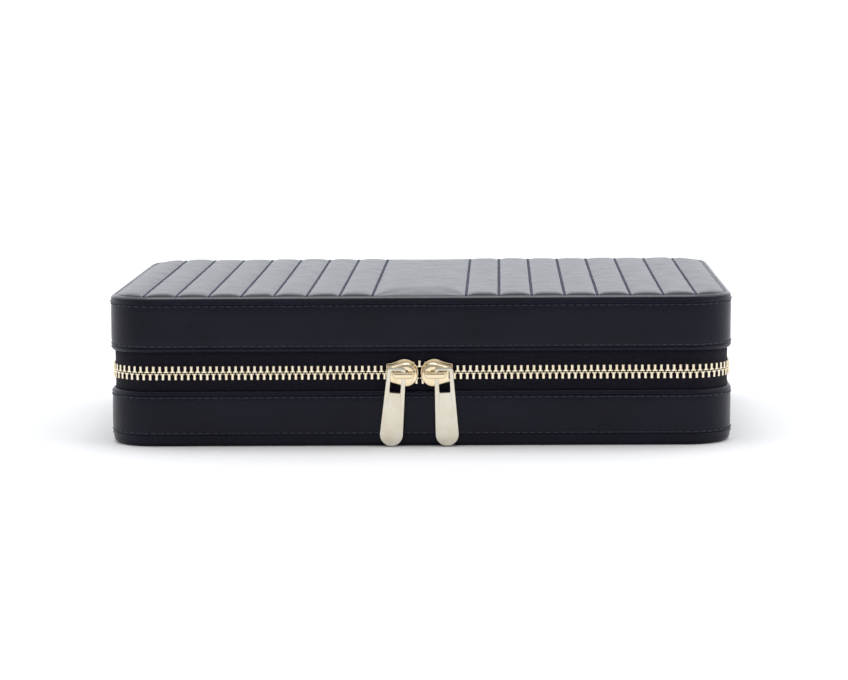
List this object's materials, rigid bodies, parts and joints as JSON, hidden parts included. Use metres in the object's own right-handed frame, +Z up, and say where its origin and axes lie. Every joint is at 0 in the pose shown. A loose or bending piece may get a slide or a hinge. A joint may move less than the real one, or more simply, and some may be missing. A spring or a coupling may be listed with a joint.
{
  "type": "jewellery case",
  "caption": "Zipped leather jewellery case with a quilted padded lid, two zip sliders with flat pulls, a lined tray with dividers and ring rolls, and a mirror in the lid.",
  "frame": {"origin": "on the resting plane, under the middle of the case's plan", "axes": "+X to the right along the width, seen from the side with the pulls; +Y from the pulls to the hinge at the back; +Z up"},
  "size_m": [0.241, 0.1691, 0.0591],
  "materials": {
    "leather": "coated navy-black leather, fine grain, semi-gloss",
    "board": "grey-brown box board",
    "wadding": "pale polyester wadding and foam",
    "lining": "blue-grey suede cloth",
    "covered_board": "board covered in blue-grey suede cloth",
    "ring_roll": "foam roll in blue-grey suede cloth",
    "tape": "woven black-navy zip tape",
    "teeth_metal": "pale gold, polished",
    "pull_metal": "pale gold, polished",
    "mirror": "silvered glass"
  },
  "bodies": {
    "base": {"base_bottom_panel": "leather", "base_floor_board": "board", "base_wall_board": "board", "base_wadding": "wadding", "base_side_band": "leather", "base_zip_binding": "leather", "base_lining": "lining", "base_collar": "covered_board", "base_zip_tape": "tape", "base_zip_teeth": "teeth_metal", "base_end_stops": "teeth_metal", "hinge_leather_lower": "leather", "divider_main": "covered_board", "divider_left": "covered_board", "divider_right_long": "covered_board", "divider_right_short": "covered_board", "ring_roll_1": "ring_roll", "ring_roll_2": "ring_roll", "ring_roll_3": "ring_roll", "ring_roll_4": "ring_roll", "ring_roll_5": "ring_roll", "ring_roll_6": "ring_roll"},
    "lid": {"lid_quilted_panel": "leather", "lid_foam_pad": "wadding", "lid_top_board": "board", "lid_wall_board": "board", "lid_wadding": "wadding", "lid_top_binding": "leather", "lid_side_band": "leather", "lid_zip_binding": "leather", "lid_lining": "lining", "lid_zip_tape": "tape", "lid_zip_teeth": "teeth_metal", "lid_end_stops": "teeth_metal", "hinge_leather_upper": "leather", "mirror_frame": "covered_board", "mirror_glass": "mirror", "necklace_hook_bar": "covered_board", "necklace_hooks": "pull_metal", "chain_pocket": "lining"},
    "left_slider": {"left_slider_body": "pull_metal", "left_slider_bridge": "pull_metal"},
    "left_pull": {"left_pull": "pull_metal"},
    "right_slider": {"right_slider_body": "pull_metal", "right_slider_bridge": "pull_metal"},
    "right_pull": {"right_pull": "pull_metal"}
  },
  "joints": [
    {"name": "lid_hinge", "type": "hinge", "parent": "base", "child": "lid", "pos_m": [0, 0.0816, 0.0289], "axis": [-1, 0, 0], "range_deg": [0, 105]},
    {"name": "left_slide", "type": "slide", "parent": "base", "child": "left_slider", "axis": [-1, 0, 0], "range_m": [0, 0.089]},
    {"name": "left_pull_swing", "type": "hinge", "parent": "left_slider", "child": "left_pull", "pos_m": [-0.0101, -0.0845, 0.0287], "axis": [0, 1, 0], "range_deg": [-12, 84]},
    {"name": "right_slide", "type": "slide", "parent": "base", "child": "right_slider", "axis": [1, 0, 0], "range_m": [0, 0.089]},
    {"name": "right_pull_swing", "type": "hinge", "parent": "right_slider", "child": "right_pull", "pos_m": [0.0101, -0.0845, 0.0287], "axis": [0, -1, 0], "range_deg": [-12, 84]}
  ]
}
